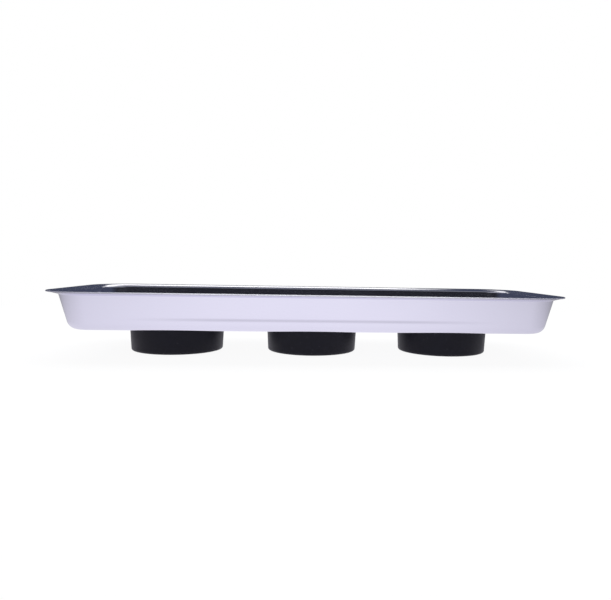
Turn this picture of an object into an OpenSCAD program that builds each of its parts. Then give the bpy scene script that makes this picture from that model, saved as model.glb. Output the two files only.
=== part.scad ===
// Magnetic parts tray: a pressed steel pan on three magnets in rubber boots.
// Each magnet hangs from a screw through the pan's floor, and its boot is the foot that grips.
// The origin is the centre of the tray on the surface that the boots stand on, in millimetres.
// +Z is up and +X runs along the tray.

/* [Pan] */
// Length over the rim
rim_l = 360; // [310:1:440]
// Width over the rim
rim_w = 140; // [120:1:220]
// Height of the pan, from the underside of its floor to the top of its rim
pan_h = 26.5; // [18:0.5:45]
// Thickness of the steel sheet
sheet_t = 0.8; // [0.5:0.1:1.5]
// Lean of the walls from upright, in degrees
wall_lean = 15; // [5:1:30]
// Radius of the floor's corners, seen from above
floor_corner_r = 11; // [10:0.5:30]
// Radius of the bend from floor to wall, on its outside
floor_bend_r = 7; // [4:0.5:10]
// Radius of the bend from wall to flange, on its underside
rim_bend_r = 1; // [0.5:0.25:4]
// Length of the flat part of the flange, out to its cut edge
flange_l = 7.5; // [4:0.5:14]
// Rise of the flange towards its cut edge, in degrees
flange_rise = 14; // [2:1:25]

/* [Boots] */
// Diameter of a boot at its top, against the pan
boot_d = 69; // [58:0.5:78]
// Height of a boot, which carries the pan
boot_h = 19.5; // [17:0.5:30]
// Taper of a boot's side towards the ground, in degrees
boot_taper = 3; // [1:0.5:5]
// Thickness of a boot's side where it is thinnest, at the ground
boot_wall = 2.8; // [1.5:0.1:4]
// Thickness of a boot's floor, under the pole plate
boot_floor = 3; // [2:0.25:4]
// Thickness of the lip that is clamped under the pan
boot_lip_t = 1.5; // [0.8:0.1:3]
// Width of the lip over the magnet
boot_lip_w = 6; // [3:0.5:9]
// Radius of a boot's edge at the ground
boot_edge_r = 1.5; // [0.5:0.25:2.5]
// Rubber left clear around the mouth of the pole plate's dish
boot_mouth_gap = 1; // [0.5:0.25:3]
// Distance from an end boot to the end of the flat floor
boot_end_gap = 24; // [8:0.5:30]

/* [Magnets] */
// Diameter of the hole through a magnet
magnet_bore_d = 30; // [28:0.5:38]
// Chamfer on a magnet's edges
magnet_chamfer = 0.8; // [0.3:0.1:1.5]
// Thickness of the pole plate under a magnet
plate_t = 2.5; // [1.5:0.25:3]
// Diameter of the flat top of the pole plate's dish
dish_d = 16; // [13:0.5:18]
// Lean of the dish's side from upright, in degrees
dish_lean = 22; // [5:1:30]

/* [Fasteners] */
// Diameter of the screw thread
screw_d = 5; // [4:0.5:6]
// Diameter of the screw's domed head
head_d = 11.5; // [9:0.5:16]
// Height of the screw's domed head
head_h = 2.8; // [2.2:0.1:4]
// Length of each slot of the cross in the head
cross_l = 5; // [3.5:0.25:6]
// Width of each slot of the cross in the head
cross_w = 1.2; // [0.8:0.1:1.6]
// Depth of the cross in the head
cross_depth = 1.8; // [1:0.1:2]
// Height of the screw's end above the ground
screw_end_z = 0.8; // [0.4:0.1:2]
// Thread that shows below the nut
thread_end = 0.8; // [0.4:0.1:2]
// Chamfer on the end of the screw
screw_chamfer = 0.5; // [0.2:0.1:1]
// Width of the nut across its flats
nut_w = 8; // [7.5:0.5:10]
// Height of the nut
nut_h = 4; // [3:0.1:5]
// Diameter of the flat washer
washer_d = 10; // [8:0.5:12]
// Thickness of the flat washer
washer_t = 1; // [0.6:0.1:1.6]
// Outside diameter of the split spring washer
spring_d = 9.2; // [8:0.1:11]
// Thickness of the split spring washer
spring_t = 1.2; // [0.8:0.1:2]
// Width of the split in the spring washer
spring_split = 0.9; // [0.4:0.1:1.5]
// Slant of the split in the spring washer, in degrees
split_slant = 25; // [0:5:40]

/* [Clearances] */
// Radial gap between a magnet and its boot
magnet_gap = 0.15; // [0.05:0.05:0.3]
// Radial gap between the screw and the holes that it passes through
hole_gap = 0.25; // [0.1:0.05:0.4]
// Radial gap between the screw and the nut
thread_gap = 0.05; // [0.02:0.01:0.1]

/* [Hidden] */
$fn = 96;
// Overlap that lets a cut run clear of the face that it opens
cut_over = 1;

// Overlap that makes a bend cross the flat sheet beside it, where it would only touch
bend_over = 0.002;

// The pan's section, from the axis of a corner outwards and from the floor's underside upwards
wall_out = [cos(wall_lean), -sin(wall_lean)];
wall_up = [sin(wall_lean), cos(wall_lean)];
flange_out = [cos(flange_rise), sin(flange_rise)];
flange_up = [-sin(flange_rise), cos(flange_rise)];
floor_bend_at = [floor_corner_r, floor_bend_r];
bends = (floor_bend_r + rim_bend_r) * wall_out + rim_bend_r * flange_up;
flange = flange_l * flange_out + sheet_t * flange_up;
wall_l = (pan_h - floor_bend_r - bends.y - flange.y) / wall_up.y;
rim_bend_at = floor_bend_at + (floor_bend_r + rim_bend_r) * wall_out + wall_l * wall_up;
rim_edge = rim_bend_at + rim_bend_r * flange_up + flange_l * flange_out;

// The pan in plan, with its corner axes at whole hundredths so that sides and corners meet exactly
function to_hundredths(length) = round(100 * length) / 100;
corner_x = to_hundredths(rim_l / 2 - rim_edge.x);
corner_y = to_hundredths(rim_w / 2 - rim_edge.x);

// The feet, in a row along the tray
FEET = ["left", "middle", "right"];
foot_pitch = corner_x + floor_corner_r - boot_end_gap - boot_d / 2;
function foot_x(i) = (i - (len(FEET) - 1) / 2) * foot_pitch;

// The stack inside a boot, from the ground up
pan_floor_z = boot_h + sheet_t;
plate_z = boot_floor;
magnet_z = plate_z + plate_t;
lip_z = boot_h - boot_lip_t;
magnet_t = lip_z - magnet_z;
nut_z = screw_end_z + thread_end;
spring_z = nut_z + nut_h;
washer_z = spring_z + spring_t;
dish_z = washer_z + washer_t;

// The radii inside a boot
boot_top_r = boot_d / 2;
boot_ground_r = boot_top_r - boot_h * tan(boot_taper);
cavity_r = boot_ground_r - boot_wall;
magnet_r = cavity_r - magnet_gap;
hole_r = screw_d / 2 + hole_gap;
dish_mouth_r = dish_d / 2 + (dish_z - plate_z) * tan(dish_lean);
// A plate of even thickness steps out by this much at each bend of the dish
dish_step = plate_t * tan(45 - dish_lean / 2);

// A flat ring that stands on z = 0
module flat_ring(outer_r, inner_r, height) {
    difference() {
        cylinder(r = outer_r, h = height);
        translate([0, 0, -cut_over]) cylinder(r = inner_r, h = height + 2 * cut_over);
    }
}

module at_foot(i) {
    translate([foot_x(i), 0, 0]) children();
}

// All that lies above one face of the bent sheet, at a depth into the sheet from its underside
module above_sheet(depth, over) {
    floor_r = floor_bend_r - depth;
    rim_r = rim_bend_r + depth;
    edge = rim_bend_at + rim_r * flange_up + (flange_l + over) * flange_out;
    top = edge + (sheet_t - depth + over + cut_over) * flange_up;
    difference() {
        union() {
            polygon([
                [-over, depth],
                [floor_corner_r, depth],
                floor_bend_at + floor_r * wall_out,
                rim_bend_at - rim_r * wall_out,
                rim_bend_at,
                rim_bend_at + rim_r * flange_up,
                edge,
                top,
                [-over, top.y],
            ]);
            translate(floor_bend_at) circle(floor_r + bend_over);
        }
        translate(rim_bend_at) circle(rim_r + bend_over);
    }
}

// The bent sheet from the axis of a corner out to the cut edge of the rim
module pan_section() {
    difference() {
        above_sheet(0, 0);
        above_sheet(sheet_t, cut_over);
    }
}

// A straight side of the pan, centred on the Y axis with its corner axis at distance
module pan_side(length, distance) {
    translate([-length / 2, distance, 0])
        rotate([90, 0, 90])
            linear_extrude(length) pan_section();
}

module pan_corner() {
    rotate_extrude(angle = 90) pan_section();
}

module tray_pan() {
    color("#d9d5e8")
        translate([0, 0, boot_h])
            difference() {
                union() {
                    translate([-corner_x, -corner_y, 0])
                        cube([2 * corner_x, 2 * corner_y, sheet_t]);
                    for (turn = [0, 180]) {
                        rotate(turn) pan_side(2 * corner_x, corner_y);
                        rotate(turn + 90) pan_side(2 * corner_y, corner_x);
                        rotate(turn) translate([corner_x, corner_y, 0]) pan_corner();
                        rotate(turn) translate([-corner_x, corner_y, 0]) rotate(90) pan_corner();
                    }
                }
                for (i = [0 : len(FEET) - 1])
                    at_foot(i)
                        translate([0, 0, -cut_over])
                            cylinder(r = hole_r, h = sheet_t + 2 * cut_over);
            }
}

// Rubber cup round a magnet: its lip is clamped under the pan and its floor holds the pole plate
module boot() {
    edge_at = boot_ground_r + boot_edge_r * (tan(boot_taper) - 1 / cos(boot_taper));
    mouth_r = dish_mouth_r + boot_mouth_gap;
    color("#26262a")
        rotate_extrude() {
            polygon([
                [mouth_r, 0],
                [edge_at, 0],
                [edge_at, boot_edge_r] + boot_edge_r * [cos(boot_taper), -sin(boot_taper)],
                [boot_top_r, boot_h],
                [cavity_r - boot_lip_w, boot_h],
                [cavity_r - boot_lip_w, lip_z],
                [cavity_r, lip_z],
                [cavity_r, boot_floor],
                [mouth_r, boot_floor],
            ]);
            translate([edge_at, boot_edge_r]) circle(boot_edge_r);
        }
}

// Ferrite ring between the pole plate and the boot's lip
module magnet() {
    bore_r = magnet_bore_d / 2;
    c = magnet_chamfer;
    color("#3c3b3d")
        translate([0, 0, magnet_z])
            rotate_extrude()
                polygon([
                    [bore_r + c, 0],
                    [magnet_r - c, 0],
                    [magnet_r, c],
                    [magnet_r, magnet_t - c],
                    [magnet_r - c, magnet_t],
                    [bore_r + c, magnet_t],
                    [bore_r, magnet_t - c],
                    [bore_r, c],
                ]);
}

// Steel plate under the magnet, dished upwards so that the nut stays clear of the ground
module pole_plate() {
    color("#b9bcc0")
        rotate_extrude()
            polygon([
                [hole_r, dish_z],
                [dish_d / 2, dish_z],
                [dish_mouth_r, plate_z],
                [magnet_r, plate_z],
                [magnet_r, plate_z + plate_t],
                [dish_mouth_r + dish_step, plate_z + plate_t],
                [dish_d / 2 + dish_step, dish_z + plate_t],
                [hole_r, dish_z + plate_t],
            ]);
}

// Machine screw with a domed head on the pan's floor
module screw() {
    screw_l = pan_floor_z - screw_end_z;
    dome_r = (head_h ^ 2 + (head_d / 2) ^ 2) / (2 * head_h);
    color("#c9c9cd")
        translate([0, 0, pan_floor_z])
            difference() {
                union() {
                    rotate_extrude()
                        intersection() {
                            translate([0, head_h - dome_r]) circle(dome_r);
                            square([head_d, head_h]);
                        }
                    translate([0, 0, screw_chamfer - screw_l])
                        cylinder(d = screw_d, h = screw_l - screw_chamfer + head_h / 2);
                    translate([0, 0, -screw_l])
                        cylinder(d1 = screw_d - 2 * screw_chamfer, d2 = screw_d, h = screw_chamfer);
                }
                for (turn = [0, 90])
                    rotate(turn)
                        translate([-cross_l / 2, -cross_w / 2, head_h - cross_depth])
                            cube([cross_l, cross_w, cross_depth + cut_over]);
            }
}

module washer() {
    color("#c4c6c9")
        translate([0, 0, washer_z]) flat_ring(washer_d / 2, hole_r, washer_t);
}

// Split washer, pressed flat by the nut
module spring_washer() {
    color("#9fa2a6")
        translate([0, 0, spring_z])
            difference() {
                flat_ring(spring_d / 2, hole_r, spring_t);
                translate([spring_d / 4 + hole_r / 2, 0, spring_t / 2])
                    rotate([split_slant, 0, 0])
                        cube([spring_d, spring_split, 3 * spring_t], center = true);
            }
}

// Hexagon nut with the corners of both faces turned off
module nut() {
    corner_r = nut_w / 2 / cos(30);
    turned_off = (corner_r - nut_w / 2) * tan(30);
    color("#bfc1c5")
        translate([0, 0, nut_z])
            difference() {
                intersection() {
                    cylinder(r = corner_r, h = nut_h, $fn = 6);
                    rotate_extrude()
                        polygon([
                            [0, 0],
                            [nut_w / 2, 0],
                            [corner_r, turned_off],
                            [corner_r, nut_h - turned_off],
                            [nut_w / 2, nut_h],
                            [0, nut_h],
                        ]);
                }
                translate([0, 0, -cut_over])
                    cylinder(r = screw_d / 2 + thread_gap, h = nut_h + 2 * cut_over);
            }
}

tray_pan();
for (i = [0 : len(FEET) - 1]) {
    at_foot(i) boot();
    at_foot(i) magnet();
    at_foot(i) pole_plate();
    at_foot(i) screw();
    at_foot(i) washer();
    at_foot(i) spring_washer();
    at_foot(i) nut();
}
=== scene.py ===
# %% [markdown]
# # A magnetic parts tray
# The real tray is a pan pressed from one sheet of polished stainless steel. It stands on three
# ring magnets, each in a black rubber boot, and a screw through the pan's floor holds each foot.
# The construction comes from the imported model, in metres, and this lesson dresses it: the pan,
# the boots and the fasteners get fine meshes in the same places, and every surface its finish.

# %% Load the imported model
import math

import bmesh
import bpy
from mathutils import Matrix, Vector


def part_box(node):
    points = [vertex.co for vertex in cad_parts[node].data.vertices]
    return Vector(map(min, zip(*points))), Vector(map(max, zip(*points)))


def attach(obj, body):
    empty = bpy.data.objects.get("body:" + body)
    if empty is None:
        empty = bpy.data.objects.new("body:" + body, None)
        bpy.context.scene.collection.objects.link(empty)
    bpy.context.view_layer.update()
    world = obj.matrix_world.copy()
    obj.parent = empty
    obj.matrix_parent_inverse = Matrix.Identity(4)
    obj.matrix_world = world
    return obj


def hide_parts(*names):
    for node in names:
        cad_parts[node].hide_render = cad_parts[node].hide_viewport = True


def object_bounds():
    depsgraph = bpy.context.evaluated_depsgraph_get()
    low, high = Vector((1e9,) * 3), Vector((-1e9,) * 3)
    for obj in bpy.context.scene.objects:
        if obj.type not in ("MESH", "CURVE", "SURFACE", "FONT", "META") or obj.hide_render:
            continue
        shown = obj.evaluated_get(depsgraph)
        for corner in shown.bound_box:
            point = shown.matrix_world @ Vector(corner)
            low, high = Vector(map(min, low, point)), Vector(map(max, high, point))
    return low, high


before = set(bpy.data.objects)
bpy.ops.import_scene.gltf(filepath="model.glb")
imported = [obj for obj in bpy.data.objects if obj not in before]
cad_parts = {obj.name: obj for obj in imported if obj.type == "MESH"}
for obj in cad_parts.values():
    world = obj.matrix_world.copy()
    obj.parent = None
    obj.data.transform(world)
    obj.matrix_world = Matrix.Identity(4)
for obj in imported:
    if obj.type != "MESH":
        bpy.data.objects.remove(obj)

MM = 0.001
FEET = ("left", "middle", "right")
cad_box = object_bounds()
cad_size = [round(v / MM, 1) for v in cad_box[1] - cad_box[0]]
scene = bpy.context.scene
scene.view_settings.view_transform = "Standard"
print("packed model:", len(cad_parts), "nodes,", cad_size, "mm")

# %% [markdown]
# ## The camera
# The tray is seen from close by and only a little above its rim, so the near rim hides the floor
# and the far wall shows as a dark strip. The camera was turned slightly to one side and not held
# quite level. Building its axes from those few angles keeps each of them readable.

# %% Camera
IMAGE_WIDTH = 611
FOCAL_PIXELS = 570.3
CENTRE_RIGHT_PIXELS = 35.5
SENSOR_WIDTH = 36.0
AIM = Vector((22.3, 0, 38.6)) * MM
DISTANCE = 443.3 * MM
CLIP_START = 10 * MM
YAW, ELEVATION, ROLL = (math.radians(a) for a in (-4.47, 3.66, -1.063))

ahead = math.cos(ELEVATION)
forward = Vector((-math.sin(YAW) * ahead, math.cos(YAW) * ahead, -math.sin(ELEVATION)))
level_right = Vector((math.cos(YAW), math.sin(YAW), 0))
level_down = forward.cross(level_right)
right = math.cos(ROLL) * level_right + math.sin(ROLL) * level_down
down = math.cos(ROLL) * level_down - math.sin(ROLL) * level_right

camera = bpy.data.objects.new("camera", bpy.data.cameras.new("camera"))
camera.data.sensor_width = SENSOR_WIDTH
camera.data.lens = FOCAL_PIXELS / IMAGE_WIDTH * SENSOR_WIDTH
camera.data.shift_x = -CENTRE_RIGHT_PIXELS / IMAGE_WIDTH
camera.data.clip_start = CLIP_START
turn = Matrix((right, -down, -forward)).transposed().to_4x4()
camera.matrix_world = Matrix.Translation(AIM - DISTANCE * forward) @ turn
scene.collection.objects.link(camera)
scene.camera = camera
print("camera: lens", round(camera.data.lens, 2), "mm at", [round(v / MM) for v in camera.location])

# %% [markdown]
# ## Small helpers
# Colours are written as they look on screen, in hexadecimal, and one function turns them to the
# linear values that shaders use. Another adds a node, with its settings and links, to any tree.
# A third gives a texture's scale from the real size of what repeats.

# %% Colour, node and scale helpers
def linear(code):
    """The linear colour of a screen colour such as "#d9d5e8"."""
    channels = [int(code[i:i + 2], 16) / 255 for i in (1, 3, 5)]
    return [c / 12.92 if c <= 0.04045 else ((c + 0.055) / 1.055) ** 2.4 for c in channels] + [1.0]


def add(tree, kind, inputs=None, **settings):
    """Adds a node with its settings, and gives its inputs their values or links."""
    node = tree.nodes.new(kind)
    for name, value in settings.items():
        setattr(node, name, value)
    for socket, value in (inputs or {}).items():
        sources = value if isinstance(value, list) else [value]
        if isinstance(sources[0], bpy.types.NodeSocket):
            for source in sources:
                tree.links.new(source, node.inputs[socket])
        else:
            node.inputs[socket].default_value = value
    return node


def repeats(size_mm):
    """A texture's scale, in repeats per metre, for a pattern of this size."""
    return 1 / (size_mm * MM)


def new_material(name):
    """A material with its tree, its shader and the object's own coordinates."""
    material = bpy.data.materials.new(name)
    material.use_nodes = True
    tree = material.node_tree
    place = add(tree, "ShaderNodeTexCoord").outputs["Object"]
    return material, tree, tree.nodes["Principled BSDF"], place


print("half grey on screen is", round(linear("#808080")[0], 3), "in linear light")

# %% [markdown]
# ## Polished stainless steel
# The pan is pressed from sheet that was polished first, so it mirrors its surroundings with a
# little blur. A perfect mirror would look like glass. Patches where the polish is duller and
# faint lines that the polishing belt left along the sheet break it up. The walls are tinted
# darker along the press line. Deburring left the rim's cut edge satin, and a painted highlight
# whitens it along the middle, fading towards the ends. A painted shade greys the flange's
# underside near its edge. The mesh carries two attributes for this: how deep the press line is,
# and how far it is along the sheet to the cut edge.

# %% Material: polished stainless steel
PRESS_LINE = "press_line"
TO_EDGE = "to_edge"
HAZE_MM = 45
BELT_LINE_MM = 0.5
BELT_STRETCH = (0.02, 1, 1)
CUT_FACE = (0.15 * MM, 0.3 * MM)
# Painted highlight on the cut edge: full up to the first distance from the middle, gone at the second
HIGHLIGHT_SPAN = (80 * MM, 160 * MM)
# Painted shade under the flange: full up to the first distance from the cut edge, gone at the second
LIP_SHADE = (3 * MM, 4 * MM)
FACING_DOWN = -0.5


def polished_steel():
    material, tree, steel, place = new_material("polished stainless steel")
    haze = {"Vector": place, "Scale": repeats(HAZE_MM), "Detail": 4.0}
    haze = add(tree, "ShaderNodeTexNoise", haze).outputs["Fac"]
    to_edge = add(tree, "ShaderNodeAttribute", attribute_name=TO_EDGE).outputs["Fac"]
    press_line = add(tree, "ShaderNodeAttribute", attribute_name=PRESS_LINE).outputs["Fac"]

    # The cut edge is all satin, and carries a painted highlight along the middle of the tray
    cut = {"Value": to_edge, "From Min": CUT_FACE[1], "From Max": CUT_FACE[0]}
    cut = add(tree, "ShaderNodeMapRange", cut).outputs["Result"]
    along = add(tree, "ShaderNodeSeparateXYZ", {"Vector": place}).outputs["X"]
    along = add(tree, "ShaderNodeMath", {0: along}, operation="ABSOLUTE").outputs[0]
    edge_highlight = {"Value": along, "From Min": HIGHLIGHT_SPAN[1], "From Max": HIGHLIGHT_SPAN[0]}
    edge_highlight = add(tree, "ShaderNodeMapRange", edge_highlight).outputs["Result"]
    edge_highlight = add(tree, "ShaderNodeMath", {0: edge_highlight, 1: cut}, operation="MULTIPLY").outputs[0]

    # The lip is the flange's underside near its edge, greyed by a painted shade
    facing = add(tree, "ShaderNodeNewGeometry").outputs["True Normal"]
    facing = add(tree, "ShaderNodeSeparateXYZ", {"Vector": facing}).outputs["Z"]
    under = {0: facing, 1: FACING_DOWN}
    under = add(tree, "ShaderNodeMath", under, operation="LESS_THAN").outputs[0]
    lip_shade = {"Value": to_edge, "From Min": LIP_SHADE[1], "From Max": LIP_SHADE[0]}
    lip_shade = add(tree, "ShaderNodeMapRange", lip_shade).outputs["Result"]
    lip_shade = add(tree, "ShaderNodeMath", {0: lip_shade, 1: under}, operation="MULTIPLY").outputs[0]

    tint = {0: haze, 6: linear("#e0dfeb"), 7: linear("#e7e6f0")}
    tint = add(tree, "ShaderNodeMix", tint, data_type="RGBA").outputs[2]
    # Layers: the walls tinted darker along the press line, painted shade under the lip, painted highlight on
    # the cut edge
    for share, colour in ((press_line, "#cccbd6"), (lip_shade, "#807f8a"), (edge_highlight, "#f7f6fc")):
        layers = {0: share, 6: tint, 7: linear(colour)}
        tint = add(tree, "ShaderNodeMix", layers, data_type="RGBA").outputs[2]
    # Under the painted highlight the edge is matt white rather than metal
    metal = {"Value": edge_highlight, "To Min": 1.0, "To Max": 0.1}
    metal = add(tree, "ShaderNodeMapRange", metal).outputs["Result"]
    dull = {"Value": haze, "From Min": 0.3, "From Max": 0.7, "To Min": 0.09, "To Max": 0.14}
    dull = add(tree, "ShaderNodeMapRange", dull).outputs["Result"]
    dull = add(tree, "ShaderNodeMix", {0: cut, 2: dull, 3: 0.5}).outputs[0]

    # Belt lines are about 0.1 mm apart. They are drawn wider, or they would not show
    lines = add(tree, "ShaderNodeMapping", {"Vector": place, "Scale": BELT_STRETCH}).outputs["Vector"]
    lines = {"Vector": lines, "Scale": repeats(BELT_LINE_MM), "Detail": 2.0}
    lines = add(tree, "ShaderNodeTexNoise", lines).outputs["Fac"]
    relief = {"Height": lines, "Strength": 0.12, "Distance": 0.02 * MM}
    tree.links.new(tint, steel.inputs["Base Color"])
    tree.links.new(metal, steel.inputs["Metallic"])
    tree.links.new(dull, steel.inputs["Roughness"])
    tree.links.new(add(tree, "ShaderNodeBump", relief).outputs["Normal"], steel.inputs["Normal"])
    return material


STEEL = polished_steel()
print("material:", STEEL.name)

# %% [markdown]
# ## Moulded black rubber
# The boots are nitrile rubber from a blasted mould: nearly black, with a fine grain that turns
# gloss into a satin sheen. Rubbing greys the edge at the ground, and a few specks of dust cling.

# %% Material: moulded black rubber
CLOUD_MM = 9
GRAIN_MM = 0.45
DUST_MM = 4
RUBBED = (0.2 * MM, 2.4 * MM)


def moulded_rubber():
    material, tree, rubber, place = new_material("moulded nitrile rubber")
    cloud = {"Vector": place, "Scale": repeats(CLOUD_MM), "Detail": 5.0}
    cloud = add(tree, "ShaderNodeTexNoise", cloud).outputs["Fac"]
    height = add(tree, "ShaderNodeSeparateXYZ", {"Vector": place}).outputs["Z"]
    worn = {"Value": height, "From Min": RUBBED[0], "From Max": RUBBED[1], "To Min": 0.5, "To Max": 0.0}
    worn = add(tree, "ShaderNodeMapRange", worn, interpolation_type="SMOOTHSTEP").outputs["Result"]
    worn = add(tree, "ShaderNodeMath", {0: worn, 1: cloud}, operation="MULTIPLY").outputs[0]
    cells = {"Vector": place, "Scale": repeats(DUST_MM)}
    cells = add(tree, "ShaderNodeTexVoronoi", cells).outputs["Distance"]
    speck = {"Value": cells, "From Min": 0.05, "From Max": 0.08, "To Min": 0.35, "To Max": 0.0}
    speck = add(tree, "ShaderNodeMapRange", speck).outputs["Result"]

    body = {0: cloud, 6: linear("#121219"), 7: linear("#1b1b25")}
    body = add(tree, "ShaderNodeMix", body, data_type="RGBA").outputs[2]
    for share, colour in ((worn, "#5a5a5c"), (speck, "#77777a")):
        layers = {0: share, 6: body, 7: linear(colour)}
        body = add(tree, "ShaderNodeMix", layers, data_type="RGBA").outputs[2]
    sheen = {"Value": cloud, "From Min": 0.3, "From Max": 0.7, "To Min": 0.4, "To Max": 0.5}
    sheen = add(tree, "ShaderNodeMapRange", sheen).outputs["Result"]

    # The mould's grain is finer than 0.1 mm. It is drawn coarser, or it would not show
    grain = {"Vector": place, "Scale": repeats(GRAIN_MM), "Detail": 2.0}
    grain = add(tree, "ShaderNodeTexNoise", grain).outputs["Fac"]
    relief = {"Height": grain, "Strength": 0.25, "Distance": 0.05 * MM}
    tree.links.new(body, rubber.inputs["Base Color"])
    tree.links.new(sheen, rubber.inputs["Roughness"])
    tree.links.new(add(tree, "ShaderNodeBump", relief).outputs["Normal"], rubber.inputs["Normal"])
    rubber.inputs["IOR"].default_value = 1.52
    rubber.inputs["Specular IOR Level"].default_value = 0.17
    return material


RUBBER = moulded_rubber()
print("material:", RUBBER.name)

# %% [markdown]
# ## Ferrite and zinc plate
# The magnets are sintered ferrite, a charcoal ceramic that is ground flat and stays dull. Screws,
# nuts, washers and pole plates are mild steel with a clear zinc plate, whose fine crystals give a
# soft grey shine with a hint of blue.

# %% Materials: ferrite and zinc plate
GRIT_MM = 0.8
BLOOM_MM = 3
CRYSTAL_MM = 0.25


def sintered_ferrite():
    material, tree, ferrite, place = new_material("sintered ferrite")
    # The grains are far finer. They are drawn as coarse as they need to show
    grit = {"Vector": place, "Scale": repeats(GRIT_MM), "Detail": 6.0}
    grit = add(tree, "ShaderNodeTexNoise", grit).outputs["Fac"]
    body = {0: grit, 6: linear("#2c2c2e"), 7: linear("#4a4a4c")}
    body = add(tree, "ShaderNodeMix", body, data_type="RGBA").outputs[2]
    relief = {"Height": grit, "Strength": 0.4, "Distance": 0.05 * MM}
    tree.links.new(body, ferrite.inputs["Base Color"])
    tree.links.new(add(tree, "ShaderNodeBump", relief).outputs["Normal"], ferrite.inputs["Normal"])
    ferrite.inputs["Roughness"].default_value = 0.7
    ferrite.inputs["IOR"].default_value = 2.2
    return material


def zinc_plate():
    material, tree, zinc, place = new_material("zinc-plated steel")
    bloom = {"Vector": place, "Scale": repeats(BLOOM_MM), "Detail": 5.0}
    bloom = add(tree, "ShaderNodeTexNoise", bloom).outputs["Fac"]
    tint = {0: bloom, 6: linear("#b4b7bf"), 7: linear("#cfcfd0")}
    tint = add(tree, "ShaderNodeMix", tint, data_type="RGBA").outputs[2]
    dull = {"Value": bloom, "From Min": 0.3, "From Max": 0.7, "To Min": 0.24, "To Max": 0.38}
    dull = add(tree, "ShaderNodeMapRange", dull).outputs["Result"]

    # The crystals are far finer too, and would not show at their real size
    crystals = {"Vector": place, "Scale": repeats(CRYSTAL_MM), "Detail": 2.0}
    crystals = add(tree, "ShaderNodeTexNoise", crystals).outputs["Fac"]
    relief = {"Height": crystals, "Strength": 0.15, "Distance": 0.02 * MM}
    tree.links.new(tint, zinc.inputs["Base Color"])
    tree.links.new(dull, zinc.inputs["Roughness"])
    tree.links.new(add(tree, "ShaderNodeBump", relief).outputs["Normal"], zinc.inputs["Normal"])
    zinc.inputs["Metallic"].default_value = 1.0
    return material


FERRITE = sintered_ferrite()
ZINC = zinc_plate()
print("materials:", FERRITE.name, "and", ZINC.name)

# %% [markdown]
# ## The pan's section
# Cut across, the pan is one line: flat floor, a bend, a leaning wall, a second bend and a flange
# that rises outwards. Four corner points and two bend radii describe the middle of the sheet. The
# wall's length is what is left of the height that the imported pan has. Pressing leaves the flange
# a little crowned, so it aims higher than its edge and droops on the way there.

# %% Section of the pan
SHEET = 0.8 * MM
WALL_LEAN = math.radians(15)
FLANGE_RISE = math.radians(14)
FLANGE_CROWN = math.radians(5)
FLANGE = 7.5 * MM
FLOOR_CORNER = 11 * MM
FLOOR_BEND = 7 * MM - SHEET / 2
RIM_BEND = 1 * MM + SHEET / 2
RIM_CREASE = 0.6 * MM
FLAT_BAND = 6 * MM
HOLE_RADIUS = 2.75 * MM

# RIM_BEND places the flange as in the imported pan. The bend itself is drawn as tight as RIM_CREASE
pan_low, pan_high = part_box("tray_pan")
floor_setback = FLOOR_BEND * math.tan((math.pi / 2 - WALL_LEAN) / 2)
rim_setback = RIM_BEND * math.tan((math.pi / 2 - WALL_LEAN - FLANGE_RISE) / 2)
flange_run = (rim_setback + FLANGE) * Vector((math.cos(FLANGE_RISE), math.sin(FLANGE_RISE), 0))
edge_rise = SHEET / 2 * (1 + math.cos(FLANGE_RISE))
wall_rise = pan_high.z - pan_low.z - edge_rise - flange_run.y

# A band of flat floor belongs to the section, so that the bend never meets the floor's triangles
floor_end = Vector((0, 0, 0))
wall_foot = Vector((FLAT_BAND + floor_setback, 0, 0))
wall_top = wall_foot + wall_rise * Vector((math.tan(WALL_LEAN), 1, 0))
flange_tip = wall_top + flange_run
flange_start = wall_top.x + rim_setback
droop = flange_run.x * (math.tan(FLANGE_RISE + FLANGE_CROWN) - math.tan(FLANGE_RISE))
flange_aim = flange_tip + Vector((0, droop, 0))
flange_curve = droop / (flange_tip.x - flange_start) ** 2
floor_length = pan_high.x - pan_low.x - 2 * flange_tip.x
floor_width = pan_high.y - pan_low.y - 2 * flange_tip.x
print("floor inside the section:", round(floor_length / MM, 2), "by", round(floor_width / MM, 2), "mm")

# %% [markdown]
# ## A tree that bends the sheet
# A box with bevels would need every bend cut by hand. Sweeping the section round the floor's
# outline gives all four walls and corners at once, with true arcs, so Geometry Nodes does that:
# a rectangle with rounded corners is the path, the rounded section is the profile, and the
# floor fills the path, less the screw holes. A few functions put the tree together, and these
# first ones would serve any tree.

# %% Geometry Nodes helpers
def new_tree(name, sizes):
    """A geometry tree with these named inputs, its input node's sockets and its output node."""
    tree = bpy.data.node_groups.new(name, "GeometryNodeTree")
    tree.interface.new_socket("Geometry", in_out="OUTPUT", socket_type="NodeSocketGeometry")
    for label, kind in sizes.items():
        tree.interface.new_socket(label, in_out="INPUT", socket_type="NodeSocket" + kind)
    return tree, tree.nodes.new("NodeGroupInput").outputs, tree.nodes.new("NodeGroupOutput")


def split_long_runs(tree, curve, step):
    """Cuts each straight run of a curve into pieces of about this length."""
    here = add(tree, "GeometryNodeInputPosition").outputs[0]
    following = add(tree, "GeometryNodeOffsetPointInCurve", {"Offset": 1}).outputs["Point Index"]
    there = {"Value": here, "Index": following}
    there = add(tree, "GeometryNodeFieldAtIndex", there, data_type="FLOAT_VECTOR").outputs[0]
    run = add(tree, "ShaderNodeVectorMath", {0: here, 1: there}, operation="DISTANCE").outputs["Value"]
    share = add(tree, "ShaderNodeMath", {0: run, 1: step}, operation="DIVIDE").outputs[0]
    return add(tree, "GeometryNodeSubdivideCurve", {"Curve": curve, "Cuts": share}).outputs[0]


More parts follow.
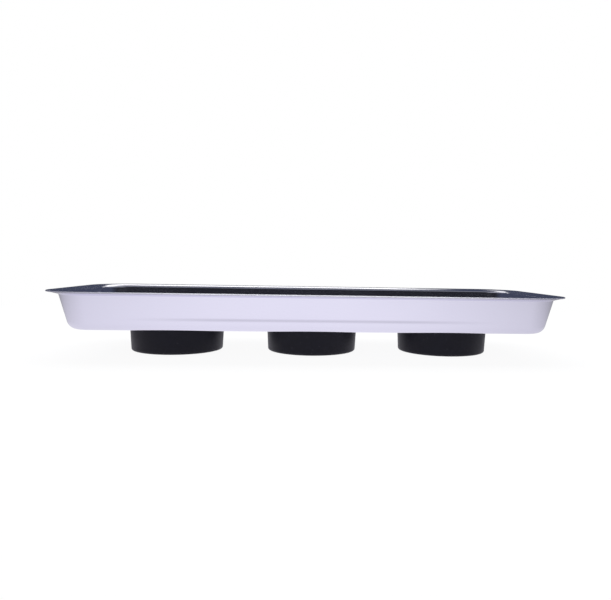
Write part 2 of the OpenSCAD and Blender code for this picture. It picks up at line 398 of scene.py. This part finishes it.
def grow(name, tree, values):
    """Runs a tree on an empty mesh and keeps the result as a plain mesh object."""
    piece = bpy.data.objects.new(name, bpy.data.meshes.new(name))
    scene.collection.objects.link(piece)
    modifier = piece.modifiers.new("tree", "NODES")
    modifier.node_group = tree
    sockets = {item.name: item.identifier for item in tree.interface.items_tree if item.in_out == "INPUT"}
    for label, value in values.items():
        modifier[sockets[label]] = value
    return keep_shape(piece)


def keep_shape(piece):
    """Turns what a piece's modifiers make into its own mesh."""
    evaluated = piece.evaluated_get(bpy.context.evaluated_depsgraph_get())
    shape = bpy.data.meshes.new_from_object(evaluated)
    piece.modifiers.clear()
    piece.data = shape
    return piece


print("helpers for trees: new_tree, split_long_runs, grow and keep_shape")

# %% [markdown]
# ## Path and profile
# The path is the floor's outline, with fine corners. Its straight sides are cut into short runs,
# so that the press line and the waviness have points to move. The profile is the section: four
# points, an arc at each bend, and the crown of the flange. It also carries the distance to the
# cut edge, which the steel reads.

# %% Path: the floor's outline
CORNER_POINTS = 24
PATH_STEP = 5 * MM


def floor_outline(tree, size):
    """The outline of the floor, with rounded corners and sides in short runs."""
    plan = {"Width": size["Floor Length"], "Height": size["Floor Width"]}
    plan = add(tree, "GeometryNodeCurvePrimitiveQuadrilateral", plan).outputs[0]
    plan = {"Curve": plan, "Count": CORNER_POINTS, "Radius": size["Corner Radius"]}
    plan = add(tree, "GeometryNodeFilletCurve", plan, mode="POLY").outputs[0]
    plan = split_long_runs(tree, plan, PATH_STEP)
    return add(tree, "GeometryNodeSetCurveNormal", {"Curve": plan}, mode="Z_UP").outputs[0]


print("path:", CORNER_POINTS, "points at a corner, runs of about", round(PATH_STEP / MM, 1), "mm")

# %% Profile: the section with its bends and crown
BEND_POINTS = 14
SECTION_STEP = 0.4 * MM


def pan_section(tree, size):
    """The section as an open line, with an arc at each bend and a crowned flange."""
    section = {"Point 1": size["Floor End"], "Point 2": size["Wall Foot"],
               "Point 3": size["Wall Top"], "Point 4": size["Flange Aim"]}
    section = add(tree, "GeometryNodeCurvePrimitiveQuadrilateral", section, mode="POINTS").outputs[0]
    section = {"Geometry": section, "Cyclic": False}
    section = add(tree, "GeometryNodeSetSplineCyclic", section).outputs[0]
    upper = {2: add(tree, "GeometryNodeInputIndex").outputs[0], 3: 1}
    upper = add(tree, "FunctionNodeCompare", upper, data_type="INT", operation="GREATER_THAN").outputs[0]
    radius = {"Switch": upper, "False": size["Floor Bend"], "True": size["Rim Bend"]}
    radius = add(tree, "GeometryNodeSwitch", radius, input_type="FLOAT").outputs[0]
    section = {"Curve": section, "Count": BEND_POINTS, "Radius": radius}
    section = add(tree, "GeometryNodeFilletCurve", section, mode="POLY").outputs[0]
    section = split_long_runs(tree, section, SECTION_STEP)

    # Crown: the flange droops with the square of how far it reaches beyond its bend
    reach = add(tree, "GeometryNodeInputPosition").outputs[0]
    reach = add(tree, "ShaderNodeSeparateXYZ", {"Vector": reach}).outputs["X"]
    reach = {0: reach, 1: size["Flange Start"]}
    reach = add(tree, "ShaderNodeMath", reach, operation="SUBTRACT").outputs[0]
    reach = add(tree, "ShaderNodeMath", {0: reach, 1: 0.0}, operation="MAXIMUM").outputs[0]
    fall = add(tree, "ShaderNodeMath", {0: reach, 1: 2.0}, operation="POWER").outputs[0]
    fall = add(tree, "ShaderNodeMath", {0: fall, 1: size["Flange Curve"]}, operation="MULTIPLY").outputs[0]
    fall = add(tree, "ShaderNodeMath", {0: 0.0, 1: fall}, operation="SUBTRACT").outputs[0]
    fall = add(tree, "ShaderNodeCombineXYZ", {"Y": fall}).outputs[0]
    section = add(tree, "GeometryNodeSetPosition", {"Geometry": section, "Offset": fall}).outputs[0]

    # Each point remembers how far it is along the section to the cut edge
    whole = add(tree, "GeometryNodeSplineLength").outputs["Length"]
    reached = add(tree, "GeometryNodeSplineParameter").outputs["Length"]
    to_edge = add(tree, "ShaderNodeMath", {0: whole, 1: reached}, operation="SUBTRACT").outputs[0]
    section = {"Geometry": section, "Name": TO_EDGE, "Value": to_edge}
    section = add(tree, "GeometryNodeStoreNamedAttribute", section).outputs[0]
    return add(tree, "GeometryNodeTransform", {"Geometry": section, "Scale": (1, -1, 1)}).outputs[0]


print("profile:", BEND_POINTS, "points at a bend, runs of about", round(SECTION_STEP / MM, 1), "mm")

# %% [markdown]
# ## Floor, press line and waviness
# Triangles fill the path, less a ring round each screw. The press left a faint line on the walls
# just above the floor bend, which fades towards the corners, and no pressed wall is perfectly
# flat. Both are real shape here, because a polished wall shows every dip in what it mirrors.

# %% Floor with its screw holes
HOLE_POINTS = 48


def pierced_floor(tree, size, plan):
    """The path filled, with a ring left out round each screw."""
    row = {"Count": len(FEET), "Start Location": size["Hole Start"], "Offset": size["Hole Spacing"]}
    row = add(tree, "GeometryNodeMeshLine", row).outputs[0]
    ring = {"Resolution": HOLE_POINTS, "Radius": size["Hole Radius"]}
    ring = add(tree, "GeometryNodeCurvePrimitiveCircle", ring).outputs[0]
    holes = add(tree, "GeometryNodeInstanceOnPoints", {"Points": row, "Instance": ring}).outputs[0]
    holes = add(tree, "GeometryNodeRealizeInstances", {"Geometry": holes}).outputs[0]
    outline = add(tree, "GeometryNodeJoinGeometry", {"Geometry": [plan, holes]}).outputs[0]
    return add(tree, "GeometryNodeFillCurve", {"Curve": outline}, mode="TRIANGLES").outputs[0]


print("floor:", len(FEET), "holes of", HOLE_POINTS, "points")

# %% Press line and waviness
# The line fades between two shares of its fade length, counted back from a corner
FADE_FULL, FADE_NONE = -1.2, -0.2
WAVES_START, WAVES_FULL = 1 * MM, 8 * MM


def pressed_surface(tree, size, sheet):
    """The sheet with the press line's groove and the slow rise and fall of its walls."""
    # The groove lies at one height and fades before the corners
    place = add(tree, "GeometryNodeInputPosition").outputs[0]
    away = add(tree, "ShaderNodeVectorMath", {0: place}, operation="ABSOLUTE").outputs[0]
    half = {"X": size["Floor Length"], "Y": size["Floor Width"]}
    half = add(tree, "ShaderNodeCombineXYZ", half).outputs[0]
    half = add(tree, "ShaderNodeVectorMath", {0: half, "Scale": 0.5}, operation="SCALE").outputs[0]
    past = add(tree, "ShaderNodeVectorMath", {0: away, 1: half}, operation="SUBTRACT").outputs[0]
    past = add(tree, "ShaderNodeSeparateXYZ", {"Vector": past}).outputs
    corner = add(tree, "ShaderNodeMath", {0: past["X"], 1: past["Y"]}, operation="MINIMUM").outputs[0]
    corner = {0: corner, 1: size["Corner Radius"]}
    corner = add(tree, "ShaderNodeMath", corner, operation="ADD").outputs[0]
    corner = {0: corner, 1: size["Fade Length"]}
    corner = add(tree, "ShaderNodeMath", corner, operation="DIVIDE").outputs[0]
    shown = {"Value": corner, "From Min": FADE_FULL, "From Max": FADE_NONE, "To Min": 1.0, "To Max": 0.0}
    shown = add(tree, "ShaderNodeMapRange", shown, interpolation_type="SMOOTHSTEP").outputs[0]
    groove = {0: past["Z"], 1: size["Line Height"]}
    groove = add(tree, "ShaderNodeMath", groove, operation="SUBTRACT").outputs[0]
    groove = add(tree, "ShaderNodeMath", {0: groove}, operation="ABSOLUTE").outputs[0]
    groove = {"Value": groove, "From Max": size["Line Half Width"], "To Min": 1.0, "To Max": 0.0}
    groove = add(tree, "ShaderNodeMapRange", groove, interpolation_type="SMOOTHSTEP").outputs[0]
    groove = add(tree, "ShaderNodeMath", {0: groove, 1: shown}, operation="MULTIPLY").outputs[0]
    sheet = {"Geometry": sheet, "Name": PRESS_LINE, "Value": groove}
    sheet = add(tree, "GeometryNodeStoreNamedAttribute", sheet).outputs[0]
    groove = add(tree, "ShaderNodeMath", {0: groove, 1: size["Line Depth"]}, operation="MULTIPLY").outputs[0]

    # The walls are wavy, more so higher up, and the floor stays flat
    wave = {"Vector": place, "Scale": size["Wave Scale"], "Detail": 1.0}
    wave = add(tree, "ShaderNodeTexNoise", wave).outputs[0]
    wave = add(tree, "ShaderNodeMath", {0: wave, 1: 0.5}, operation="SUBTRACT").outputs[0]
    wave = add(tree, "ShaderNodeMath", {0: wave, 1: size["Waviness"]}, operation="MULTIPLY").outputs[0]
    risen = {"Value": past["Z"], "From Min": WAVES_START, "From Max": WAVES_FULL}
    risen = add(tree, "ShaderNodeMapRange", risen, interpolation_type="SMOOTHSTEP").outputs[0]
    wave = add(tree, "ShaderNodeMath", {0: wave, 1: risen}, operation="MULTIPLY").outputs[0]
    lift = add(tree, "ShaderNodeMath", {0: groove, 1: wave}, operation="ADD").outputs[0]
    normal = add(tree, "GeometryNodeInputNormal").outputs[0]
    shift = add(tree, "ShaderNodeVectorMath", {0: normal, "Scale": lift}, operation="SCALE").outputs[0]
    return add(tree, "GeometryNodeSetPosition", {"Geometry": sheet, "Offset": shift}).outputs[0]


print("walls: wavy from", round(WAVES_START / MM, 1), "mm above the floor")

# %% [markdown]
# ## The whole sheet
# The tree names every size of the pan. It sweeps the profile along the path, welds the floor in
# and lifts the pan to its height. What it makes is kept as a plain mesh.

# %% Tree: the bent sheet
WELD = 0.005 * MM


def bent_sheet_tree():
    numbers = ("Floor Length", "Floor Width", "Floor Height", "Corner Radius", "Flange Start",
               "Flange Curve", "Floor Bend", "Rim Bend", "Hole Radius", "Line Height",
               "Line Half Width", "Line Depth", "Fade Length", "Waviness", "Wave Scale")
    places = ("Floor End", "Wall Foot", "Wall Top", "Flange Aim", "Hole Start", "Hole Spacing")
    sizes = {label: "Float" for label in numbers}
    sizes.update({label: "Vector" for label in places})
    sizes["Material"] = "Material"
    tree, size, output = new_tree("bent sheet pan", sizes)

    plan = floor_outline(tree, size)
    walls = {"Curve": plan, "Profile Curve": pan_section(tree, size)}
    walls = add(tree, "GeometryNodeCurveToMesh", walls).outputs[0]
    floor = pierced_floor(tree, size, plan)
    sheet = add(tree, "GeometryNodeJoinGeometry", {"Geometry": [walls, floor]}).outputs[0]
    sheet = add(tree, "GeometryNodeMergeByDistance", {"Geometry": sheet, "Distance": WELD}).outputs[0]
    sheet = pressed_surface(tree, size, sheet)
    height = add(tree, "ShaderNodeCombineXYZ", {"Z": size["Floor Height"]}).outputs[0]
    sheet = add(tree, "GeometryNodeTransform", {"Geometry": sheet, "Translation": height}).outputs[0]
    sheet = add(tree, "GeometryNodeRealizeInstances", {"Geometry": sheet}).outputs[0]
    sheet = {"Geometry": sheet, "Material": size["Material"]}
    sheet = add(tree, "GeometryNodeSetMaterial", sheet).outputs[0]
    tree.links.new(sheet, output.inputs["Geometry"])
    return tree


foot_at = {foot: sum(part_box(foot + "_boot"), Vector()) / 2 for foot in FEET}
foot_pitch = foot_at["middle"].x - foot_at["left"].x
pan = grow("pan_sheet", bent_sheet_tree(), {
    "Floor Length": floor_length, "Floor Width": floor_width, "Floor Height": pan_low.z + SHEET / 2,
    "Corner Radius": FLOOR_CORNER - FLAT_BAND, "Floor End": floor_end, "Wall Foot": wall_foot,
    "Wall Top": wall_top, "Flange Aim": flange_aim, "Flange Start": flange_start,
    "Flange Curve": flange_curve, "Floor Bend": FLOOR_BEND, "Rim Bend": RIM_CREASE,
    "Hole Radius": HOLE_RADIUS, "Hole Start": (-foot_pitch, 0, 0), "Hole Spacing": (foot_pitch, 0, 0),
    "Line Height": 7.9 * MM, "Line Half Width": 1.7 * MM, "Line Depth": 0.06 * MM,
    "Fade Length": 80 * MM, "Waviness": 0.06 * MM, "Wave Scale": repeats(70), "Material": STEEL})
print("bent sheet:", len(pan.data.polygons), "faces before it gets its thickness")

# %% [markdown]
# ## Thickness and the cut edge
# The tree made the middle of the sheet. Solidify adds half the thickness on each side, which
# also gives the screw holes their walls. Only the rim's cut edge was rounded by polishing, so
# only its edges get a bevel weight. The normals are worked out again on the closed shell.

# %% Thicken the sheet and ease its cut edge
EDGE_EASE = 0.35 * MM
EDGE_ROWS = 3
SHARP = math.radians(40)
SAME_POINT = 0.0005 * MM


def tidy_shell(piece):
    """Points the faces of a closed piece outwards and smooths all but its sharp edges."""
    shell = bmesh.new()
    shell.from_mesh(piece.data)
    bmesh.ops.remove_doubles(shell, verts=shell.verts, dist=SAME_POINT)
    bmesh.ops.recalc_face_normals(shell, faces=shell.faces)
    open_edges = sum(not edge.is_manifold for edge in shell.edges)
    shell.to_mesh(piece.data)
    shell.free()
    piece.data.shade_smooth()
    piece.data.set_sharp_from_angle(angle=SHARP)
    print(piece.name, "has", len(piece.data.polygons), "faces and", open_edges, "open edges")
    return piece


def weigh_cut_edge(piece, lowest):
    """Gives a bevel weight to the sharp edges above a height."""
    mesh = piece.data
    weight = mesh.attributes.new("bevel_weight_edge", "FLOAT", "EDGE")
    shell = bmesh.new()
    shell.from_mesh(mesh)
    for edge in shell.edges:
        sharp = len(edge.link_faces) == 2 and edge.calc_face_angle() > SHARP
        if sharp and min(v.co.z for v in edge.verts) > lowest:
            weight.data[edge.index].value = 1.0
    shell.free()


solid = pan.modifiers.new("thickness", "SOLIDIFY")
solid.thickness = SHEET
solid.offset = 0
solid.use_even_offset = True
tidy_shell(keep_shape(pan))
weigh_cut_edge(pan, pan_high.z - 2 * SHEET)
ease = pan.modifiers.new("ease", "BEVEL")
ease.limit_method = "WEIGHT"
ease.width = EDGE_EASE
ease.segments = EDGE_ROWS
tidy_shell(keep_shape(pan))
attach(pan, "root")
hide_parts("tray_pan")

# %% [markdown]
# ## Turned pieces
# Boots, plates and washers are round, so each is an outline spun about its foot's axis. Real
# edges are never knife sharp: each corner of an outline carries a radius, and one function puts
# the arcs in. Spinning in code keeps the mesh in even rings, with no poles to mend.

# %% Outlines and spinning
ARC_STEP = math.radians(10)
ROUND_SEGMENTS = 120


def rounded(corners):
    """A closed outline from corners (radius from the axis, height, radius of the arc there)."""
    points = []
    for i, (r, z, arc) in enumerate(corners):
        corner = Vector((r, z))
        before = (Vector(corners[i - 1][:2]) - corner).normalized()
        after = (Vector(corners[(i + 1) % len(corners)][:2]) - corner).normalized()
        if arc == 0:
            points.append(corner)
            continue
        opening = before.angle(after)
        middle = corner + (before + after).normalized() * arc / math.sin(opening / 2)
        start = corner + before * arc / math.tan(opening / 2) - middle
        sweep = start.angle_signed(corner + after * arc / math.tan(opening / 2) - middle)
        count = max(2, math.ceil(abs(sweep) / ARC_STEP))
        points += [middle + Matrix.Rotation(-sweep * k / count, 2) @ start for k in range(count + 1)]
    return points


def spun(name, outline, axis, segments=ROUND_SEGMENTS, ripple=None):
    """Spins a closed outline about an upright axis. A ripple changes the radius at a height and angle."""
    mesh = bmesh.new()
    angles = [2 * math.pi * k / segments for k in range(segments)]
    rings = []
    for r, z in outline:
        reach = [r + (ripple(r, z, a) if ripple else 0) for a in angles]
        rings.append([mesh.verts.new((axis.x + d * math.cos(a), axis.y + d * math.sin(a), z))
                      for d, a in zip(reach, angles)])
    for low, high in zip(rings, rings[1:] + rings[:1]):
        for k in range(segments):
            n = (k + 1) % segments
            mesh.faces.new((low[k], low[n], high[n], high[k]))
    piece = bpy.data.objects.new(name, bpy.data.meshes.new(name))
    mesh.to_mesh(piece.data)
    mesh.free()
    scene.collection.objects.link(piece)
    return tidy_shell(piece)


def dress(piece, material, node):
    """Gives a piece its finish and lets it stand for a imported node."""
    piece.data.materials.clear()
    piece.data.materials.append(material)
    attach(piece, "root")
    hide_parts(node)


print("helpers for round pieces: rounded, spun and dress")

# %% [markdown]
# ## The rubber boots
# A boot is a cup that narrows a little towards the ground, so that it leaves its mould. Its lip
# is clamped under the pan, and a hole in its floor leaves room for the nut.

# %% Boots
BOOT_TAPER = math.radians(3)
BOOT_WALL = 2.8 * MM
BOOT_FLOOR = 3 * MM
BOOT_LIP = 1.5 * MM
LIP_WIDTH = 6 * MM
GROUND_EDGE = 1.5 * MM
BOOT_EDGE = 0.5 * MM
LIP_TOP_EDGE = 0.4 * MM
LIP_LOW_EDGE = 0.3 * MM
MOUTH_ROOM = 1 * MM
PLATE = 2.5 * MM
DISH_TOP = 8 * MM
DISH_LEAN = math.radians(22)

plate_low, plate_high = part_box("middle_pole_plate")
dish_z = plate_high.z - PLATE
dish_mouth = DISH_TOP + (dish_z - plate_low.z) * math.tan(DISH_LEAN)
boot_mouth = dish_mouth + MOUTH_ROOM

for foot in FEET:
    low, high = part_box(foot + "_boot")
    top_radius = (high.x - low.x) / 2
    ground_radius = top_radius - high.z * math.tan(BOOT_TAPER)
    cavity = ground_radius - BOOT_WALL
    lip_z = high.z - BOOT_LIP
    lip_end = cavity - LIP_WIDTH
    cup = [
        (boot_mouth, low.z, BOOT_EDGE), (ground_radius, low.z, GROUND_EDGE),
        (top_radius, high.z, BOOT_EDGE), (lip_end, high.z, LIP_TOP_EDGE), (lip_end, lip_z, LIP_LOW_EDGE),
        (cavity, lip_z, 0), (cavity, BOOT_FLOOR, 0), (boot_mouth, BOOT_FLOOR, BOOT_EDGE),
    ]
    boot = spun(foot + "_boot_cup", rounded(cup), foot_at[foot])
    dress(boot, RUBBER, foot + "_boot")

# %% [markdown]
# ## Pole plates and washers
# The pole plate is pressed steel, so its dish has soft bends. The flat washer is punched, with
# its edges eased. Both are spun like the boots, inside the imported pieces' outlines.

# %% Pole plates and washers
PLATE_EDGE = 0.4 * MM
TIGHT_BEND = 0.8 * MM
WIDE_BEND = 1.2 * MM
BORE_EDGE = 0.15 * MM
WASHER_EDGE = 0.25 * MM
WASHER_SEGMENTS = 64

dish_step = PLATE * math.tan(math.pi / 4 - DISH_LEAN / 2)
for foot in FEET:
    low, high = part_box(foot + "_pole_plate")
    reach = (high.x - low.x) / 2
    brim_z = low.z + PLATE
    dish = [
        (HOLE_RADIUS, dish_z, 0), (DISH_TOP, dish_z, TIGHT_BEND), (dish_mouth, low.z, WIDE_BEND),
        (reach, low.z, PLATE_EDGE), (reach, brim_z, PLATE_EDGE),
        (dish_mouth + dish_step, brim_z, TIGHT_BEND), (DISH_TOP + dish_step, high.z, WIDE_BEND),
        (HOLE_RADIUS, high.z, 0),
    ]
    plate = spun(foot + "_dished_plate", rounded(dish), foot_at[foot])
    dress(plate, ZINC, foot + "_pole_plate")
    low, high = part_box(foot + "_washer")
    reach = (high.x - low.x) / 2
    ring = [(HOLE_RADIUS, low.z, BORE_EDGE), (reach, low.z, WASHER_EDGE),
            (reach, high.z, WASHER_EDGE), (HOLE_RADIUS, high.z, BORE_EDGE)]
    washer = spun(foot + "_flat_washer", rounded(ring), foot_at[foot], WASHER_SEGMENTS)
    dress(washer, ZINC, foot + "_washer")

# %% [markdown]
# ## The screws
# Each screw has a domed head on the pan's floor and a fully threaded shank. Spinning alone makes
# rings, so a ripple that turns with height winds them into a thread. The driver's cross is a
# tapered star, cut out of the dome with a Boolean.

# %% Screws
SCREW_RADIUS = 2.5 * MM
SCREW_SEGMENTS = 48
THREAD_PITCH = 0.8 * MM
THREAD_DEPTH = 0.45 * MM
CREST_PLAY = 0.01 * MM
ROWS_PER_TURN = 6
CLEAR_ROWS = 2
DOME_ROWS = 14
DOME_EDGE = 0.2 * MM
# Points of the head's rim: how far inside its radius, and how far above its seat
HEAD_RIM = ((0.1 * MM, 0), (0.05 * MM, 0.12 * MM))
CROSS_REACH = 2.5 * MM
CROSS_HALF_WIDTH = 0.6 * MM
CROSS_DEPTH = 1.8 * MM
CROSS_TAPER = 0.55


def thread(r, z, angle):
    """How far a thread's flank lies inside its crest."""
    if r < SCREW_RADIUS - CREST_PLAY or r > SCREW_RADIUS:
        return 0
    phase = (z / THREAD_PITCH - angle / (2 * math.pi)) % 1
    return -THREAD_DEPTH * abs(2 * phase - 1)


def driver_cross(axis, top):
    """A star with four arms that narrows downwards, to be cut from a screw's head."""
    arm, half = CROSS_REACH, CROSS_HALF_WIDTH
    quarter = [Vector((half, -half)), Vector((arm, -half)), Vector((arm, half))]
    star = [Matrix.Rotation(k * math.pi / 2, 2) @ p for k in range(4) for p in quarter]
    mesh = bmesh.new()
    rings = []
    for z, scale in ((top + CROSS_DEPTH, 2 - CROSS_TAPER), (top - CROSS_DEPTH, CROSS_TAPER)):
        rings.append([mesh.verts.new((axis.x + p.x * scale, axis.y + p.y * scale, z)) for p in star])
    upper, lower = rings
    mesh.faces.new(upper)
    mesh.faces.new(lower)
    for k in range(len(star)):
        n = (k + 1) % len(star)
        mesh.faces.new((upper[k], upper[n], lower[n], lower[k]))
    bmesh.ops.recalc_face_normals(mesh, faces=mesh.faces)
    cutter = bpy.data.objects.new("cutter", bpy.data.meshes.new("cutter"))
    mesh.to_mesh(cutter.data)
    mesh.free()
    scene.collection.objects.link(cutter)
    return cutter


for foot in FEET:
    low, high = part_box(foot + "_screw")
    seat = pan_low.z + SHEET
    head_radius = (high.x - low.x) / 2
    head_height = high.z - seat
    dome = (head_height ** 2 + head_radius ** 2) / (2 * head_height)
    lean_at_edge = math.asin((head_radius - DOME_EDGE) / dome)
    leans = [lean_at_edge * (1 - k / DOME_ROWS) for k in range(DOME_ROWS + 1)]
    cap = [Vector((dome * math.sin(a), high.z - dome + dome * math.cos(a))) for a in leans]
    rows = int((seat - low.z) / THREAD_PITCH * ROWS_PER_TURN) - CLEAR_ROWS
    heights = [seat - (k + 1) * THREAD_PITCH / ROWS_PER_TURN for k in reversed(range(rows))]
    shank = [Vector((SCREW_RADIUS, z)) for z in heights]
    tip = [Vector((0, low.z)), Vector((SCREW_RADIUS - THREAD_DEPTH, low.z))]
    rim = [Vector((head_radius - inside, seat + above)) for inside, above in HEAD_RIM]
    outline = [*tip, *shank, Vector((SCREW_RADIUS, seat)), *rim, *cap]
    screw = spun(foot + "_domed_screw", outline, foot_at[foot], SCREW_SEGMENTS, thread)
    cutter = driver_cross(foot_at[foot], high.z)
    cut = screw.modifiers.new("cross", "BOOLEAN")
    cut.object = cutter
    keep_shape(screw)
    bpy.data.objects.remove(cutter)
    dress(tidy_shell(screw), ZINC, foot + "_screw")

# %% [markdown]
# ## Magnets, nuts and spring washers
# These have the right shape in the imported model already, and only their finish is missing.

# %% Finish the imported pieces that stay
STAYING = {"_magnet": FERRITE, "_nut": ZINC, "_spring_washer": ZINC}
for foot in FEET:
    for kind, material in STAYING.items():
        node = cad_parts[foot + kind]
        node.data.materials.clear()
        node.data.materials.append(material)
print("finished", len(STAYING) * len(FEET), "packed pieces")

# %% [markdown]
# ## The studio
# Polished steel is only as good as what it reflects. The outer walls lean, so they mirror the
# white paper in front of the tray. The far flange mirrors a bright panel behind the tray, and the
# far wall the dark room behind the camera. Paler panes at the sides, low in front and overhead
# give the other walls and the floor something to mirror. One softbox lights the tray and isn't
# mirrored. The camera itself sees plain white, and the paper near the tray keeps a soft shadow.

# %% Softbox
SOFTBOX = {"size": 2.0, "size_y": 1.2, "energy": 24}
SOFTBOX_PLACE = (-0.1, 0.45, 1.0)
softbox = bpy.data.objects.new("softbox", bpy.data.lights.new("softbox", "AREA"))
softbox.data.shape = "RECTANGLE"
for setting, value in SOFTBOX.items():
    setattr(softbox.data, setting, value)
softbox.location = SOFTBOX_PLACE
softbox.visible_camera = False
softbox.visible_glossy = False
scene.collection.objects.link(softbox)
print("softbox:", SOFTBOX["size"], "by", SOFTBOX["size_y"], "m")

# %% Room
WHITE = (1, 1, 1, 1)
PANEL_LIGHT = (1.6, 1.6, 1.55, 1)
PALE = linear("#d6d8e0")
world = bpy.data.worlds.new("studio")
world.use_nodes = True
scene.world = world
tree = world.node_tree
tree.nodes.clear()
direction = add(tree, "ShaderNodeTexCoord").outputs["Generated"]
along = add(tree, "ShaderNodeSeparateXYZ", {"Vector": direction}).outputs
across, back, up = along["X"], along["Y"], along["Z"]
aside = add(tree, "ShaderNodeMath", {0: across}, operation="ABSOLUTE").outputs[0]

# What the steel mirrors is dark, with panes laid over it. An edge of a pane is where it fades in,
# from one value of a direction to another, and a pane shows where all its edges do.
panel = [(up, 0.41, 0.45), (up, 0.60, 0.56), (across, -0.29, -0.25), (across, 0.285, 0.16),
         (back, 0.0, 0.3)]
panes = [
    (linear("#454a5c"), [(back, -0.4, 0.3)]),
    (linear("#8c8e96"), [(up, 0.62, 0.95)]),
    (PALE, [(up, 0.48, 0.6), (aside, 0.34, 0.5)]),
    (PALE, [(up, 0.24, 0.18), (aside, 0.45, 0.6), (back, 0.35, 0.15)]),
    (PALE, [(up, 0.33, 0.27), (back, -0.4, -0.6)]),
    (PANEL_LIGHT, panel),
]
mirrored = linear("#26272d")
for colour, edges in panes:
    pane = 1.0
    for place, outside, inside in edges:
        edge = {"Value": place, "From Min": outside, "From Max": inside}
        edge = add(tree, "ShaderNodeMapRange", edge, interpolation_type="SMOOTHSTEP").outputs[0]
        pane = add(tree, "ShaderNodeMath", {0: pane, 1: edge}, operation="MULTIPLY").outputs[0]
    layers = {0: pane, 6: mirrored, 7: colour}
    mirrored = add(tree, "ShaderNodeMix", layers, data_type="RGBA").outputs[2]

ray = add(tree, "ShaderNodeLightPath").outputs
mirror = {0: ray["Is Glossy Ray"], 1: ray["Is Transmission Ray"]}
mirror = add(tree, "ShaderNodeMath", mirror, operation="MAXIMUM").outputs[0]
lit = {0: mirror, 6: linear("#b4b6bc"), 7: mirrored}
lit = add(tree, "ShaderNodeMix", lit, data_type="RGBA").outputs[2]
seen = {0: ray["Is Camera Ray"], 6: lit, 7: WHITE}
seen = add(tree, "ShaderNodeMix", seen, data_type="RGBA").outputs[2]
sky = add(tree, "ShaderNodeBackground", {"Color": seen}).outputs[0]
add(tree, "ShaderNodeOutputWorld", {"Surface": sky})
print("room:", len(panes), "panes to mirror")

# %% Floor
FLOOR_REACH = 12.0
TABLE_TINT = (0.98, 0.96, 1.06, 1)
POOL_CENTRE = (-0.018, -0.07, 0)
MIRRORED_SHARE = 0.95
floor = bpy.data.objects.new("studio_floor", bpy.data.meshes.new("studio_floor"))
corners = [(x * FLOOR_REACH, y * FLOOR_REACH, 0) for x, y in ((-1, -1), (1, -1), (1, 1), (-1, 1))]
floor.data.from_pydata(corners, [], [(0, 1, 2, 3)])
scene.collection.objects.link(floor)

paper = bpy.data.materials.new("matt white paper")
paper.use_nodes = True
tree = paper.node_tree
tree.nodes.clear()
place = add(tree, "ShaderNodeTexCoord").outputs["Object"]
ray = add(tree, "ShaderNodeLightPath").outputs
mirror = {0: ray["Is Glossy Ray"], 1: ray["Is Transmission Ray"]}
mirror = add(tree, "ShaderNodeMath", mirror, operation="MAXIMUM").outputs[0]

# For the camera, the paper is whiter the farther it is from the tray's shadow
away = add(tree, "ShaderNodeVectorMath", {0: place}, operation="LENGTH").outputs["Value"]
fade = {"Value": away, "From Min": 0.12, "From Max": 0.6, "To Min": 0.93, "To Max": 1.0}
fade = add(tree, "ShaderNodeMapRange", fade, interpolation_type="SMOOTHSTEP").outputs[0]
seen = {0: ray["Is Camera Ray"], 1: fade}
seen = add(tree, "ShaderNodeMath", seen, operation="MULTIPLY").outputs[0]

# In the steel, the paper is a pool of cool light that dims outwards
pool = add(tree, "ShaderNodeVectorMath", {0: place, 1: POOL_CENTRE}, operation="DISTANCE").outputs["Value"]
pool = {"Value": pool, "From Min": 0.04, "From Max": 0.45, "To Min": 1.0, "To Max": 0.3}
pool = add(tree, "ShaderNodeMapRange", pool, interpolation_type="SMOOTHSTEP").outputs[0]
shown = add(tree, "ShaderNodeMath", {0: mirror, 1: MIRRORED_SHARE}, operation="MULTIPLY").outputs[0]
level = add(tree, "ShaderNodeMix", {0: mirror, 2: 1.0, 3: pool}).outputs[0]
tone = {0: mirror, 6: WHITE, 7: TABLE_TINT}
tone = add(tree, "ShaderNodeMix", tone, data_type="RGBA").outputs[2]

whiten = add(tree, "ShaderNodeMath", {0: seen, 1: shown}, operation="MAXIMUM").outputs[0]
matt = add(tree, "ShaderNodeBsdfDiffuse", {"Color": linear("#f4f4f6")}).outputs[0]
white = add(tree, "ShaderNodeEmission", {"Color": tone, "Strength": level}).outputs[0]
surface = add(tree, "ShaderNodeMixShader", {0: whiten, 1: matt, 2: white}).outputs[0]
add(tree, "ShaderNodeOutputMaterial", {"Surface": surface})
floor.data.materials.append(paper)
print("floor:", 2 * FLOOR_REACH, "m of", paper.name)
